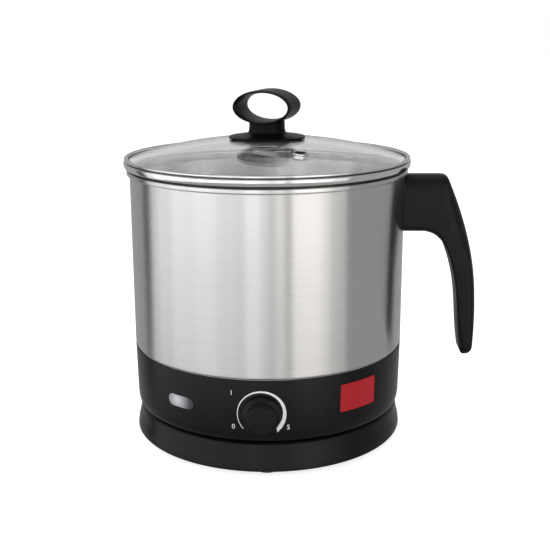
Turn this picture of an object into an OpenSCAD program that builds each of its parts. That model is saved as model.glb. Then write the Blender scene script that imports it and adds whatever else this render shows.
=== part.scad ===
// Cordless electric hot pot with a loose glass lid.
// Z is the axis of the pot and z = 0 is the table. The dial faces -Y, the handle reaches +X
// and the cord would leave the base at +Y. All sizes are in millimetres.

/* [Pot body] */
// Outside radius of the steel body
body_r = 80; // [70:0.5:95]
// Height of the steel wall from the collar seam to the top of the rim
body_h = 103.4; // [80:0.1:140]
// Thickness of the steel sheet
steel_t = 1; // [0.8:0.1:1.2]
// Radius under the steel wall where it turns in above the collar
edge_round = 1.2; // [1:0.1:2]
// How far the cup steps in to sit inside the collar
neck_in = 3; // [2.6:0.1:4]
// How deep the cup reaches down inside the collar
neck_h = 4.5; // [4:0.1:8]
// Corner radius between the cup's wall and floor
floor_round = 4; // [2:0.5:4]
// Width of the rolled rim
rim_w = 2.7; // [2.6:0.1:4]
// Height of the rolled rim
rim_h = 3; // [2.6:0.1:6]
// Corner radius of the rolled rim
rim_round = 1.2; // [0.8:0.1:1.2]

/* [Collar] */
// Height of the black collar
collar_h = 35.2; // [34:0.1:50]
// Thickness of the collar's wall
collar_t = 2.3; // [2:0.1:2.8]
// How much smaller the collar's radius is at the bottom than at the seam
collar_taper = 0.6; // [0:0.1:1.5]
// Height of the bevel round the collar's lower edge
collar_bevel = 5; // [2:0.5:6]
// How far that bevel goes in
collar_bevel_in = 1; // [0.5:0.1:1.5]
// Gap of the dark seam between collar and steel wall
seam_gap = 0.3; // [0.1:0.1:0.6]
// Thickness of the silicone seal under the steel ledge
seal_t = 0.8; // [0.5:0.1:1.5]
// Thickness of the plastic floor that closes the collar
floor_t = 3; // [2.5:0.1:4]
// Height of the ring under that floor, which stands in the base
stand_ring_h = 5.5; // [5:0.1:8]
// Width of that ring
stand_ring_w = 3; // [2:0.1:4]

/* [Power base] */
// Height of the base from the table to its top edge
base_h = 20; // [18.5:0.5:30]
// Gap between the table and the base's lower edge
base_gap = 4; // [3:0.1:4.5]
// How far the base's lower edge stands out past the steel body
base_flare = 0.3; // [-1:0.1:3]
// How far the base's upper edge stays inside the steel body
base_top_in = 2; // [1:0.1:4]
// Thickness of the base's wall and dish
base_t = 2.4; // [2:0.1:3]
// Depth of the round dish that the pot stands in
dish_depth = 4; // [3:0.1:4.5]
// Width of the flat rim round the dish
dish_rim_w = 7; // [5:0.5:9]
// Radius of the raised connector in the middle of the dish
socket_r = 16; // [15:0.1:18]
// Height of that connector above the dish
socket_h = 13; // [12:0.1:14]
// Height of the base's plate above the table in its middle
plate_gap = 1.2; // [0.8:0.1:1.5]
// Radius of a rubber foot
foot_r = 8; // [5:0.1:8.2]
// How far the middle of a foot stays inside the steel body's radius
foot_inset = 15.3; // [11:0.1:18]
// Turn of the ring of feet about the axis
foot_turn = 2; // [-10:1:10]
// Radius of the cord's hole in its gland
cord_hole_r = 3.1; // [2.5:0.1:3.1]

/* [Dial and lamp] */
// Height of the dial's axis above the collar's lower edge
dial_rise = 16; // [14.5:0.5:20]
// Radius of the dial's skirt
dial_r = 10.5; // [8:0.1:11]
// Radius of the dial's grip
dial_grip_r = 8; // [6:0.1:9]
// Length of the dial, front to back
dial_len = 10; // [8:0.1:14]
// Radius of the dial's spindle
spindle_r = 3; // [2.5:0.1:3.5]
// Running clearance round the spindle
spindle_clear = 0.06; // [0.03:0.01:0.1]
// Outer radius of the printed arc round the dial
scale_r = 13.4; // [12:0.1:14]
// Width of the lamp's lens, measured round the collar
lens_w = 18; // [12:0.5:22]
// Height of the lamp's lens
lens_h = 6.8; // [6:0.1:12]
// Angle of the lamp from the dial, to the left
lamp_angle = 35; // [30:1:45]
// Angle of the badge's middle from the dial, to the right
badge_angle = 41.4; // [36:0.1:50]
// Width of the badge, measured round the collar
badge_w = 25.4; // [16:0.1:28]
// Height of the badge
badge_h = 16; // [10:0.1:20]

/* [Handle] */
// Distance from the top of the rim down to the handle
handle_drop = 4.4; // [4:0.1:20]
// Height of the handle's block where it meets the steel wall
block_h = 31.7; // [26:0.1:40]
// How far the block reaches out from the steel wall at its top corner
block_reach = 25.6; // [22:0.1:32]
// Depth of the block, front to back
block_depth = 24; // [18:0.1:28]
// Depth of the grip at its lower end
grip_depth = 18; // [15:0.1:24]
// Finger gap between the steel wall and the grip
grip_gap = 32.6; // [28:0.1:45]
// Thickness of the grip at its middle
grip_w = 13.3; // [10:0.1:18]
// Length of the handle from its top to its lower tip
handle_len = 109; // [90:0.1:118]
// Thickness of the cover strip on the inside of the grip
cover_t = 1.8; // [1.6:0.1:3.6]

/* [Lid] */
// How far the lid's band stands out past the steel body
band_out = 3.5; // [2.6:0.1:5]
// Height of the band
band_h = 6.7; // [6.5:0.1:9]
// Depth of the skirt that hangs inside the rim
skirt_h = 4.2; // [3:0.1:8]
// Play between that skirt and the steel wall
skirt_play = 0.6; // [0.3:0.1:1.2]
// Thickness of the glass
glass_t = 4; // [3:0.1:4.2]
// Height of the glass dome above its edge
dome_h = 11.7; // [6:0.1:14]
// Distance of the steam vent from the lid's middle
vent_dist = 48.5; // [40:0.5:60]
// Angle of the steam vent from the front, to the right
vent_angle = 24; // [0:1:60]
// Radius of the steam vent's hole
vent_r = 3; // [2:0.1:3]
// Radius of the knob's flange
flange_r = 22.2; // [18:0.1:26]
// Radius of the knob's stem
stem_r = 10.4; // [8.5:0.1:11]
// Height from the flange's edge to the underside of the hoop
stem_h = 8.6; // [6:0.1:12]
// Width of the knob's hoop
hoop_w = 34.5; // [30:0.5:44]
// Height of the knob's hoop
hoop_h = 19.2; // [18:0.1:24]
// Depth of the knob's hoop, along its hole
hoop_depth = 24; // [23:0.1:28]
// Wall of the hoop at its middle
hoop_t = 2; // [1.5:0.1:2.5]
// Turn of the hoop about the pot's axis
hoop_turn = 15.7; // [-45:0.1:45]

/* [Hidden] */
$fn = 96;

// Heights, from the table up.
dish_z = base_h - dish_depth;
floor_z = dish_z + stand_ring_h;
collar_z = floor_z + 0.5;
collar_top = collar_z + collar_h;
seam_z = collar_top + seam_gap;
cup_z = seam_z - neck_h;
rim_top = seam_z + body_h;
rim_z = rim_top - rim_h;
handle_top = rim_top - handle_drop;
dial_z = collar_z + dial_rise;

// Radii.
neck_r = body_r - neck_in;
cup_in_r = body_r - steel_t;
base_r = body_r + base_flare;
base_top_r = body_r - base_top_in;
dish_r = base_top_r - 1 - dish_rim_w;
stand_ring_r = dish_r - 1;
collar_foot_r = body_r - collar_taper;
collar_low_r = collar_foot_r - collar_bevel_in;
floor_r = collar_low_r - collar_t;
rim_out_r = body_r - steel_t + rim_w;

// Small sizes that several pieces share.
fit = 0.2;
screw_r = 1.4;
screw_head_r = 2.6;
screw_head_h = 1.2;
eps = 0.01;

// Base details.
cover_t_base = 2;
cover_z = base_gap - 0.4;
cover_r = base_r - base_t - 1;
plate_r = base_r - 32.3;
plate_slot_r = plate_r - 15;
plate_slot_len = 12;
plate_slot_w = 1.8;
post_r = 3.6;
post_circle_r = plate_r + 12;
post_angles = [45, 165, 285];
foot_angles = [for (i = [0:3]) 90 * i + foot_turn];
foot_circle_r = body_r - foot_inset;
foot_stud_r = 2;
socket_top = dish_z + socket_h;
slot_in_r = 8.2;
slot_out_r = 10.8;
slot_mid_r = (slot_in_r + slot_out_r) / 2;
pin_hole_r = 3.2;
socket_floor_z = dish_z + 4;
gland_w = 12;
gland_low = cover_z + cover_t_base + 0.1;
gland_top = dish_z - base_t - 0.1;
gland_z = (gland_low + gland_top) / 2;
gland_len = 16;
block_w = 22;
block_d = 10;
block_y = plate_r - 8;
block_pitch = 7;
mains_r = 1.2;

// Collar details.
boss_r = 3.4;
boss_circle_r = floor_r - boss_r - 0.1;
boss_angles = [90, 195, 345];
boss_h = 12;
stud_angles = [60, 180, 300];
stud_circle_r = neck_r - floor_round - 7;
stud_r = 2;
stud_len = 12;
tab_z = cup_z - 9;
tab_t = 3;
nut_r = 3.6;
nut_h = 2.4;
seal_in = 0.7;

// Heater details.
heat_plate_r = stud_circle_r - 6;
heat_plate_t = 5;
heat_z = cup_z - heat_plate_t;
element_r = heat_plate_r - 15;
element_tube_r = 3.6;
element_sink = 0.5;
element_z = heat_z - element_tube_r + element_sink;
element_sweep = 320;
element_start = 110;
element_leg_r = 2.2;
element_leg = 7;
lead_r = 1;

// Connector under the pot.
connector_play = 0.7;
connector_t = 3.3;
connector_in_r = socket_r + connector_play;
connector_out_r = connector_in_r + connector_t;
connector_top = socket_top + 2;
connector_roof_t = 2.5;
connector_flange_w = 7;
floor_slot_r = (stand_ring_r - stand_ring_w + connector_out_r + connector_flange_w) / 2;
floor_slot_len = 16;
floor_slot_w = 2;

// Thermostat, dial and lamp details.
dial_back = collar_foot_r + 0.7;
dial_skirt_h = 2.4;
dial_slope_h = 1.6;
bush_r = 4.5;
bracket_t = 1.2;
bracket_w = 40;
bracket_h = 20;
bracket_y = neck_r - 3;
bracket_screw_x = 16.5;
bracket_screw_r = 1.1;
thermostat_w = 26;
thermostat_h = 22;
thermostat_d = 14;
spindle_in = 8;
trim_t = 0.3;
scale_start = 222.4;
scale_end = -51;
badge_t = 0.6;
lens_proud = 0.35;
lens_depth = 3.4;

// Lid details.
lid_z = rim_top;
band_r = body_r + band_out;
skirt_r = cup_in_r - skirt_play;
skirt_t = 0.8;
glass_r = body_r + 0.6;
glass_edge_z = lid_z + band_h - 1.2;
glass_top_z = glass_edge_z + dome_h;
dome_edge_r = glass_r - 0.6;
dome_r = (dome_edge_r * dome_edge_r + dome_h * dome_h) / (2 * dome_h);
dome_centre_z = glass_top_z - dome_r;
glass_seat_z = dome_centre_z + sqrt(pow(dome_r - glass_t, 2) - glass_r * glass_r) - 0.03;
lid_hole_r = 3;
lid_screw_r = 2;
knob_washer_r = 7.8;
knob_washer_t = 0.8;
lid_seal_r = 13;
lid_seal_t = 2.2;
cup_washer_r = 11;
cup_washer_t = 1.6;
vent_hole_r = vent_r + 0.9;
vent_flange_r = vent_r + 1.95;
vent_tilt = asin(vent_dist / dome_r);
flange_z = glass_top_z - dome_r + sqrt(dome_r * dome_r - flange_r * flange_r) + 0.15;
hoop_z = flange_z + stem_h + hoop_h / 2;

// ---------- shared shapes ----------

function arc(x, y, r, from, to, steps = 8) =
    [for (i = [0:steps]) let (a = from + (to - from) * i / steps) [x + r * cos(a), y + r * sin(a)]];

// A point on a curve with four control points.
function bezier(p, t) =
    pow(1 - t, 3) * p[0] + 3 * pow(1 - t, 2) * t * p[1] + 3 * (1 - t) * t * t * p[2] + pow(t, 3) * p[3];

module disc(r, z0, z1) {
    translate([0, 0, z0]) cylinder(r = r, h = z1 - z0);
}

module ring(r_out, r_in, z0, z1) {
    difference() {
        disc(r_out, z0, z1);
        disc(r_in, z0 - 1, z1 + 1);
    }
}

module polar(angle, r) {
    rotate([0, 0, angle]) translate([r, 0, 0]) children();
}

// Turns a shape built along +Z so that it runs out of the front, along -Y.
module to_front(z) {
    translate([0, 0, z]) rotate([90, 0, 0]) children();
}

module box(x0, x1, y0, y1, z0, z1) {
    translate([x0, y0, z0]) cube([x1 - x0, y1 - y0, z1 - z0]);
}

module rounded_rect(x, y, w, h, r) {
    translate([x + r, y]) square([w - 2 * r, h]);
    translate([x, y + r]) square([w, h - 2 * r]);
    for (cx = [x + r, x + w - r], cy = [y + r, y + h - r]) translate([cx, cy]) circle(r = r, $fn = 32);
}

// Closed skin through a list of sections of equal length.
module skin(rings) {
    n = len(rings[0]);
    m = len(rings);
    sides = [for (j = [0:m - 2], k = [0:n - 1])
        let (a = j * n + k, b = j * n + (k + 1) % n)
        [a, b, b + n, a + n]];
    quads = [for (s = sides) each [[s[0], s[1], s[2]], [s[0], s[2], s[3]]]];
    start_cap = [for (k = [n - 1:-1:0]) k];
    end_cap = [for (k = [0:n - 1]) (m - 1) * n + k];
    polyhedron(points = [for (r = rings) each r], faces = concat(quads, [start_cap, end_cap]));
}

// Unit vector of a direction, and the middle direction of a path at one of its points.
function unit(v) = v / norm(v);
function heading(p, i) =
    unit(
        (i > 0 ? unit(p[i] - p[i - 1]) : [0, 0, 0])
        + (i < len(p) - 1 ? unit(p[i + 1] - p[i]) : [0, 0, 0])
    );

// A lead through a list of points, with a ring of corners square to the way at each point.
module lead(points, r, sides = 10) {
    aside = unit([0.35, 0.2, 0.9]);
    skin([for (i = [0:len(points) - 1])
        let (t = heading(points, i), u = unit(aside - (aside * t) * t), v = cross(u, t))
        [for (k = [0:sides - 1])
            let (a = 360 * k / sides)
            points[i] + r * (cos(a) * u + sin(a) * v)]]);
}

// A pan-head screw that points up from z = 0, its head below.
module screw_up(r, head_r, head_h, length) {
    difference() {
        union() {
            translate([0, 0, -head_h]) cylinder(r = head_r, h = head_h, $fn = 32);
            cylinder(r = r, h = length, $fn = 32);
        }
        for (turn = [0, 90])
            rotate([0, 0, turn])
            box(-head_r * 0.55, head_r * 0.55, -0.35, 0.35, -head_h - 1, -head_h * 0.45);
    }
}

// ---------- power base ----------

// Outer line of the base's wall, from the lower edge to the flat top.
function base_outline() = [
    [base_r - 0.9, base_gap],
    [base_r, base_gap + 1],
    [base_r - 0.5, base_gap + 5],
    [base_r - 1.3, base_gap + 8],
    [base_top_r + 0.4, base_gap + 11],
    [base_top_r, base_h - 2],
    [base_top_r - 0.5, base_h - 0.8],
    [base_top_r - 1.4, base_h],
];

module base_shell() {
    color([0.11, 0.11, 0.12])
    difference() {
        union() {
            rotate_extrude()
            polygon(concat(
                base_outline(),
                [
                    [dish_r + 0.5, base_h],
                    [dish_r, base_h - 0.5],
                    [dish_r, dish_z],
                    [socket_r + fit, dish_z],
                    [socket_r + fit, dish_z - base_t],
                    [dish_r + base_t, dish_z - base_t],
                    [dish_r + base_t, base_h - base_t],
                    [base_top_r - base_t, base_h - base_t],
                    [base_top_r - base_t, base_gap + 11],
                    [base_r - base_t - 0.5, base_gap + 5],
                    [base_r - base_t - 0.5, base_gap],
                ]
            ));
            for (a = post_angles)
                polar(a, post_circle_r)
                disc(post_r, cover_z + cover_t_base, dish_z - base_t + eps);
        }
        for (a = post_angles)
            polar(a, post_circle_r)
            disc(screw_r + 0.05, 0, dish_z - base_t + 0.4);
        box(-gland_w / 2 - fit, gland_w / 2 + fit, base_top_r - 12, base_r + 5,
            gland_low - fit, gland_top + fit);
    }
}

module base_cover() {
    color([0.13, 0.13, 0.14])
    difference() {
        rotate_extrude()
        polygon([
            [0, plate_gap],
            [plate_r, plate_gap],
            [plate_r + 2, cover_z],
            [cover_r, cover_z],
            [cover_r, cover_z + cover_t_base],
            [plate_r + 1, cover_z + cover_t_base],
            [plate_r - 1, plate_gap + cover_t_base],
            [0, plate_gap + cover_t_base],
        ]);
        for (a = post_angles)
            polar(a, post_circle_r) {
                disc(screw_r + 0.2, 0, 20);
                disc(screw_head_r + 0.2, 0, cover_z + screw_head_h);
            }
        for (a = foot_angles) polar(a, foot_circle_r - foot_r / 2) disc(foot_stud_r + 0.1, 0, 20);
        for (a = [0:30:330])
            polar(a, plate_slot_r)
            box(-plate_slot_len / 2, plate_slot_len / 2, -plate_slot_w / 2, plate_slot_w / 2, 0, base_h);
    }
}

// Rubber foot with a stud that plugs into the cover.
module base_foot(i) {
    color([0.05, 0.05, 0.05])
    rotate([0, 0, foot_angles[i - 1]]) {
        translate([foot_circle_r, 0, 0])
        rotate_extrude()
        polygon([[0, 0], [foot_r - 0.5, 0], [foot_r, 0.5], [foot_r, cover_z], [0, cover_z]]);
        translate([foot_circle_r - foot_r / 2, 0, 0])
        disc(foot_stud_r, cover_z - 0.5, cover_z + cover_t_base);
    }
}

module base_screw(i) {
    color([0.62, 0.63, 0.65])
    polar(post_angles[i - 1], post_circle_r)
    translate([0, 0, cover_z + screw_head_h])
    screw_up(screw_r, screw_head_r, screw_head_h - 0.1, dish_z - base_t - cover_z - screw_head_h - 1);
}

// Raised round connector with a centre hole and a ring slot.
module base_socket() {
    color([0.15, 0.15, 0.16])
    rotate_extrude()
    polygon([
        [pin_hole_r, socket_floor_z - 3],
        [pin_hole_r, socket_top - 1],
        [pin_hole_r + 1, socket_top],
        [slot_in_r - 0.5, socket_top],
        [slot_in_r, socket_top - 0.5],
        [slot_in_r, socket_floor_z],
        [slot_out_r, socket_floor_z],
        [slot_out_r, socket_top - 0.5],
        [slot_out_r + 0.5, socket_top],
        [socket_r - 3, socket_top],
        [socket_r, socket_top - 3],
        [socket_r, dish_z - base_t],
        [socket_r + 6, dish_z - base_t],
        [socket_r + 6, dish_z - base_t - 2],
        [socket_r - 4, dish_z - base_t - 2],
        [socket_r - 4, socket_floor_z - 3],
    ]);
}

module contact_centre() {
    color([0.78, 0.6, 0.25]) {
        ring(pin_hole_r - 0.05, pin_hole_r - 0.6, socket_floor_z - 5, socket_top - 5);
        ring(pin_hole_r + 1.5, pin_hole_r - 0.6, socket_floor_z - 5, socket_floor_z - 3);
    }
}

module contact_ring() {
    color([0.78, 0.6, 0.25])
    ring(slot_out_r - 0.05, slot_out_r - 0.6, socket_floor_z, socket_top - 3);
}

// Cord gland that fills the slot in the back of the base. The cord would pass through its hole.
module cord_gland() {
    color([0.07, 0.07, 0.08])
    difference() {
        intersection() {
            union() {
                box(-gland_w / 2, gland_w / 2, base_r - gland_len, base_r + 5, gland_low, gland_top);
                box(-gland_w / 2 - 2, gland_w / 2 + 2, base_r - gland_len, base_r - gland_len + 3,
                    gland_low, gland_top);
            }
            disc(base_r - 0.6, 0, base_h);
        }
        translate([0, base_r + 5, gland_z])
        rotate([90, 0, 0])
        cylinder(r = cord_hole_r, h = gland_len + 10);
    }
}

module terminal_block() {
    color([0.85, 0.84, 0.78])
    difference() {
        box(-block_w / 2, block_w / 2, block_y - block_d / 2, block_y + block_d / 2,
            plate_gap + cover_t_base, dish_z - base_t - 1.5);
        for (x = [-block_pitch, 0, block_pitch]) {
            translate([x, block_y - block_d, gland_z - 1])
            rotate([-90, 0, 0])
            cylinder(r = mains_r + 0.3, h = 2 * block_d, $fn = 24);
            translate([x, block_y, gland_z]) cylinder(r = mains_r + 0.6, h = base_h, $fn = 24);
        }
    }
}

// Lead from the terminal block to the socket: 1 live, 2 earth, 3 neutral.
module base_lead(i) {
    tints = [[0.45, 0.2, 0.1], [0.35, 0.6, 0.2], [0.15, 0.3, 0.7]];
    x = (i - 2) * block_pitch;
    end = [[-slot_mid_r, 0], [0, slot_mid_r + 0.5], [slot_mid_r, 0]][i - 1];
    color(tints[i - 1])
    lead([
        [x, block_y - block_d / 2 - 0.5, gland_z - 1],
        [x, block_y - block_d - 2, gland_z - 1],
        [end[0], end[1], gland_z - 1],
        [end[0], end[1], socket_floor_z - 4.5],
    ], mains_r);
}

// ---------- pot body ----------

// Steel cup: straight wall, a ledge above the collar, a floor, and a rolled rim.
inner_round = edge_round + 0.2;
function cup_profile() = concat(
    [[body_r, rim_z + rim_round]],
    arc(body_r - edge_round, seam_z + edge_round, edge_round, 0, -90, 4),
    [[neck_r, seam_z]],
    arc(neck_r - floor_round, cup_z + floor_round, floor_round, 0, -90, 6),
    [[0, cup_z], [0, cup_z + steel_t]],
    arc(neck_r - floor_round, cup_z + floor_round, floor_round - steel_t, -90, 0, 6),
    [[neck_r - steel_t, seam_z + steel_t]],
    arc(body_r - inner_round, seam_z + inner_round, max(inner_round - steel_t, 0.1), -90, 0, 3),
    [[cup_in_r, rim_z + rim_round]]
);

module pot_shell() {
    color([0.78, 0.78, 0.78]) {
        rotate_extrude() {
            polygon(cup_profile());
            rounded_rect(cup_in_r, rim_z, rim_w, rim_h, rim_round);
        }
        for (a = stud_angles)
            polar(a, stud_circle_r)
            disc(stud_r, cup_z - stud_len, cup_z + steel_t / 2);
    }
}

module heat_plate() {
    color([0.72, 0.73, 0.75])
    difference() {
        rotate_extrude()
        polygon([
            [0, heat_z],
            [heat_plate_r - 1.5, heat_z],
            [heat_plate_r, heat_z + 1.5],
            [heat_plate_r, cup_z],
            [0, cup_z],
        ]);
        disc(4, heat_z - 1, heat_z + 2);
    }
}

// Tubular element soldered under the heat plate, with two straight ends.
module heating_element() {
    color([0.5, 0.5, 0.52])
    difference() {
        union() {
            rotate([0, 0, element_start])
            rotate_extrude(angle = element_sweep)
            translate([element_r, element_z])
            circle(r = element_tube_r, $fn = 40);
            for (a = [element_start, element_start + element_sweep])
                polar(a, element_r)
                disc(element_leg_r, element_z - element_leg, element_z);
        }
        disc(body_r, heat_z, heat_z + 10);
    }
}

// Outer radius of the collar at a height above its bevel.
function collar_r(z) =
    collar_foot_r + collar_taper * (z - collar_z - collar_bevel) / (collar_h - collar_bevel);

module collar_solid(grow, z0, z1) {
    rotate_extrude()
    polygon([[0, z0], [collar_r(z0) + grow, z0], [collar_r(z1) + grow, z1], [0, z1]]);
}

module at_lamp() {
    translate([0, 0, collar_z + 17.2])
    rotate([90, 0, -lamp_angle])
    children();
}

module lens_shape(grow) {
    r = lens_h / 2 + grow;
    square([lens_w - lens_h, 2 * r], center = true);
    for (x = [-1, 1]) translate([x * (lens_w - lens_h) / 2, 0]) circle(r = r);
}

module collar() {
    boss_z = floor_z + floor_t;
    color([0.11, 0.11, 0.12])
    difference() {
        union() {
            rotate_extrude()
            polygon([
                [collar_low_r, collar_z],
                [collar_low_r + 0.65, collar_z + 2],
                [collar_foot_r, collar_z + collar_bevel],
                [body_r, collar_top],
                [body_r - seal_in, collar_top],
                [body_r - seal_in, seam_z - seal_t],
                [neck_r + fit, seam_z - seal_t],
                [neck_r + fit, collar_z + collar_bevel],
                [floor_r + fit, collar_z + collar_bevel - 1],
                [floor_r + fit, collar_z],
            ]);
            for (a = boss_angles)
                polar(a, 0) {
                    translate([boss_circle_r, 0, 0]) disc(boss_r, boss_z, boss_z + boss_h);
                    box(boss_circle_r, neck_r + 1, -1.2, 1.2, boss_z, boss_z + boss_h);
                }
            for (a = stud_angles)
                polar(a, 0) {
                    translate([stud_circle_r, 0, 0]) disc(stud_r + 3.4, tab_z, tab_z + tab_t);
                    box(stud_circle_r, neck_r + 1, -4, 4, tab_z, tab_z + tab_t);
                }
            for (side = [-1, 1])
                intersection() {
                    collar_solid(-0.5, collar_z + collar_bevel, collar_top - 2);
                    to_front(dial_z)
                    translate([side * bracket_screw_x, 0, bracket_y])
                    cylinder(r = 3.5, h = 8, $fn = 40);
                }
        }
        for (a = boss_angles) polar(a, boss_circle_r) disc(screw_r + 0.05, floor_z, boss_z + boss_h - 2);
        for (a = stud_angles) polar(a, stud_circle_r) disc(stud_r + 0.3, tab_z - 1, tab_z + tab_t + 1);
        for (side = [-1, 1])
            to_front(dial_z)
            translate([side * bracket_screw_x, 0, bracket_y - 1])
            cylinder(r = bracket_screw_r + 0.05, h = 3.3, $fn = 24);
        to_front(dial_z) translate([0, 0, neck_r - 3]) cylinder(r = bush_r + 0.3, h = 20, $fn = 48);
        at_lamp() translate([0, 0, neck_r - 8]) linear_extrude(20) lens_shape(fit);
    }
}

module collar_seal() {
    color([0.3, 0.3, 0.3])
    ring(body_r - seal_in - 0.1, neck_r + fit, seam_z - seal_t, seam_z);
}

// Plastic floor of the pot, with the ring that stands in the base's dish.
module collar_floor() {
    color([0.12, 0.12, 0.13])
    difference() {
        union() {
            ring(floor_r, connector_out_r + fit, floor_z, floor_z + floor_t);
            ring(stand_ring_r, stand_ring_r - stand_ring_w, dish_z, floor_z + eps);
        }
        for (a = boss_angles)
            polar(a, boss_circle_r) {
                disc(screw_r + 0.2, 0, 60);
                disc(screw_head_r + 0.2, 0, floor_z + screw_head_h + 0.2);
            }
        for (a = [0:60:300])
            polar(a, floor_slot_r)
            box(-floor_slot_len / 2, floor_slot_len / 2, -floor_slot_w / 2, floor_slot_w / 2,
                floor_z - 1, floor_z + floor_t + 1);
    }
}

module collar_screw(i) {
    color([0.62, 0.63, 0.65])
    polar(boss_angles[i - 1], boss_circle_r)
    translate([0, 0, floor_z + screw_head_h + 0.2])
    screw_up(screw_r, screw_head_r, screw_head_h, boss_h - 2);
}

module collar_nut(i) {
    color([0.68, 0.66, 0.55])
    polar(stud_angles[i - 1], stud_circle_r)
    difference() {
        translate([0, 0, tab_z - nut_h]) cylinder(r = nut_r, h = nut_h, $fn = 6);
        disc(stud_r + 0.05, tab_z - nut_h - 1, tab_z + 1);
    }
}

// Connector housing that drops over the base's socket.
module pot_connector() {
    color([0.16, 0.16, 0.17])
    rotate_extrude()
    polygon([
        [connector_in_r + 0.8, dish_z + 1],
        [connector_out_r, dish_z + 1],
        [connector_out_r, floor_z + floor_t],
        [connector_out_r + connector_flange_w, floor_z + floor_t],
        [connector_out_r + connector_flange_w, floor_z + floor_t + 2.2],
        [connector_out_r, floor_z + floor_t + 2.2],
        [connector_out_r, connector_top + connector_roof_t],
        [slot_in_r + 1.7, connector_top + connector_roof_t],
        [slot_in_r + 1.7, connector_top],
        [connector_in_r, connector_top],
        [connector_in_r, dish_z + 2],
    ]);
}

// Insulator that holds the centre pin inside the ring blade.
module connector_core() {
    color([0.82, 0.8, 0.74])
    ring(slot_in_r + 0.7, 2.25, connector_top, connector_top + connector_roof_t);
}

module connector_pin() {
    color([0.8, 0.62, 0.28])
    rotate_extrude()
    polygon([
        [0, dish_z + 5],
        [1.4, dish_z + 5],
        [2.2, dish_z + 6],
        [2.2, connector_top + connector_roof_t + 4],
        [0, connector_top + connector_roof_t + 4],
    ]);
}

module connector_ring() {
    color([0.8, 0.62, 0.28])
    ring(slot_in_r + 1.6, slot_in_r + 0.8, dish_z + 6, connector_top + connector_roof_t + 3);
}

// ---------- control parts inside the collar ----------

module thermostat_body() {
    front = bracket_y - bracket_t;
    color([0.86, 0.84, 0.78])
    difference() {
        union() {
            box(-thermostat_w / 2, thermostat_w / 2, -front, -front + thermostat_d,
                dial_z - thermostat_h / 2, dial_z + thermostat_h / 2 - 2);
            to_front(dial_z)
            translate([0, 0, front - 1])
            cylinder(r = bush_r, h = collar_foot_r - front + 0.2, $fn = 48);
        }
        to_front(dial_z) translate([0, 0, front - spindle_in])
        cylinder(r = spindle_r + spindle_clear, h = 30, $fn = 64);
    }
}

module thermostat_bracket() {
    front = bracket_y;
    color([0.66, 0.67, 0.69])
    difference() {
        box(-bracket_w / 2, bracket_w / 2, -front, -front + bracket_t,
            dial_z - bracket_h / 2, dial_z + bracket_h / 2);
        to_front(dial_z) translate([0, 0, front - 5]) cylinder(r = bush_r + 0.1, h = 10, $fn = 48);
        for (side = [-1, 1])
            to_front(dial_z)
            translate([side * bracket_screw_x, 0, front - 5])
            cylinder(r = bracket_screw_r + 0.2, h = 10, $fn = 24);
    }
}

module bracket_screw(i) {
    side = i == 1 ? -1 : 1;
    color([0.62, 0.63, 0.65])
    to_front(dial_z)
    translate([side * bracket_screw_x, 0, bracket_y - bracket_t])
    screw_up(bracket_screw_r, 2.2, 1.4, 3);
}

module thermal_fuse() {
    color([0.75, 0.75, 0.77]) {
        translate([-6, -12, heat_z - 2.4]) rotate([0, 90, 0]) cylinder(r = 2.4, h = 12, $fn = 40);
        translate([-14, -12, heat_z - 2.4]) rotate([0, 90, 0]) cylinder(r = 0.5, h = 28, $fn = 16);
    }
}

module lamp_lens() {
    color([0.8, 0.8, 0.82])
    intersection() {
        difference() {
            collar_solid(lens_proud, collar_z + collar_bevel, collar_top - 2);
            disc(neck_r - lens_depth + 2.4, 0, rim_top);
        }
        at_lamp() translate([0, 0, neck_r - 8]) linear_extrude(20) lens_shape(0);
    }
}

module lamp_bulb() {
    color([0.9, 0.6, 0.4])
    at_lamp()
    translate([-6, 0, neck_r - 6])
    rotate([0, 90, 0]) {
        cylinder(r = 2.6, h = 12, $fn = 40);
        translate([0, 0, -4]) cylinder(r = 0.5, h = 20, $fn = 16);
    }
}

// The point just under one of the element's legs.
function element_foot(a) =
    [element_r * cos(a), element_r * sin(a), element_z - element_leg - lead_r - 0.1];

// Lead inside the collar: 1 connector to thermostat, 2 thermostat to element, 3 element to connector.
module pot_lead(i) {
    low = connector_top + connector_roof_t + 4;
    behind = thermostat_d - bracket_y + bracket_t + lead_r;
    bend = element_r / 2;
    routes = [
        [[0, -slot_in_r - 1.2, low], [0, -bend - 7, low], [-thermostat_w / 4, behind, low]],
        [
            [thermostat_w / 4, behind, low],
            [bend, -bend, low],
            [bend, bend, low],
            element_foot(element_start + element_sweep),
        ],
        [element_foot(element_start), [-7, 12, low], [-5, slot_in_r - 0.7, low]],
    ];
    color([0.75, 0.2, 0.15])
    lead(routes[i - 1], lead_r);
}

// ---------- dial ----------

module dial_knob() {
    color([0.09, 0.09, 0.1])
    to_front(dial_z)
    translate([0, 0, dial_back])
    difference() {
        rotate_extrude()
        polygon([
            [0, 0],
            [dial_r - 0.4, 0],
            [dial_r, 0.4],
            [dial_r, dial_skirt_h - 0.6],
            [dial_r - 0.6, dial_skirt_h],
            [dial_grip_r + 0.2, dial_skirt_h + dial_slope_h],
            [dial_grip_r, dial_len - 1],
            [dial_grip_r - 1, dial_len],
            [0, dial_len],
        ]);
        translate([0, 0, -1]) cylinder(r = spindle_r + 0.05, h = dial_len - 1.5, $fn = 64);
        rotate([0, 0, 222]) translate([dial_grip_r - 4.5, -0.5, dial_len - 0.6]) cube([6, 1, 2]);
    }
}

module dial_spindle() {
    inner_end = bracket_y - bracket_t - spindle_in + 1;
    color([0.7, 0.7, 0.72])
    to_front(dial_z)
    difference() {
        translate([0, 0, inner_end])
        cylinder(r = spindle_r, h = dial_back + dial_len - 3 - inner_end, $fn = 64);
        translate([-5, spindle_r - 0.8, dial_back + 1]) cube([10, 5, 20]);
    }
}

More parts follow.
